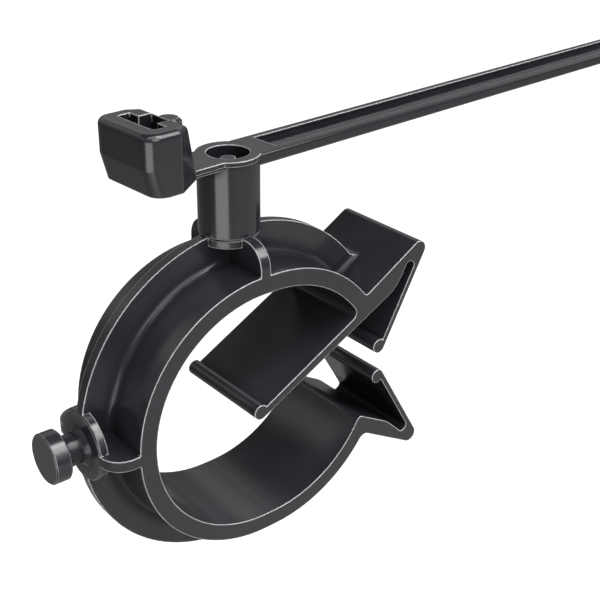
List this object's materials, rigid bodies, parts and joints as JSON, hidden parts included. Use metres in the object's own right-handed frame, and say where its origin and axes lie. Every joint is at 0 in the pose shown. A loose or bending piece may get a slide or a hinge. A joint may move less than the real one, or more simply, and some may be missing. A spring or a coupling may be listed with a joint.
{
  "type": "pipe clip cable tie",
  "caption": "Ring clip pushed onto a pipe, with spring jaws, an inner tongue and headed studs, and a locking cable tie that swivels on the top stud.",
  "frame": {"origin": "centre of the ring's bore, at the middle of its width", "axes": "+Y along the pipe, +X out of the clip's mouth, +Z along the stud that carries the tie"},
  "size_m": [0.1579, 0.0162, 0.0431],
  "materials": {
    "clip_nylon": "satin moulded nylon, black",
    "tie_nylon": "satin moulded nylon, black"
  },
  "bodies": {
    "clip": {"pipe_clip": "clip_nylon"},
    "tie": {"cable_tie": "tie_nylon"}
  },
  "joints": [
    {"name": "tie_swivel", "type": "hinge", "parent": "clip", "child": "tie", "pos_m": [0, 0, 0.0168], "axis": [0, 0, 1], "continuous": true}
  ]
}
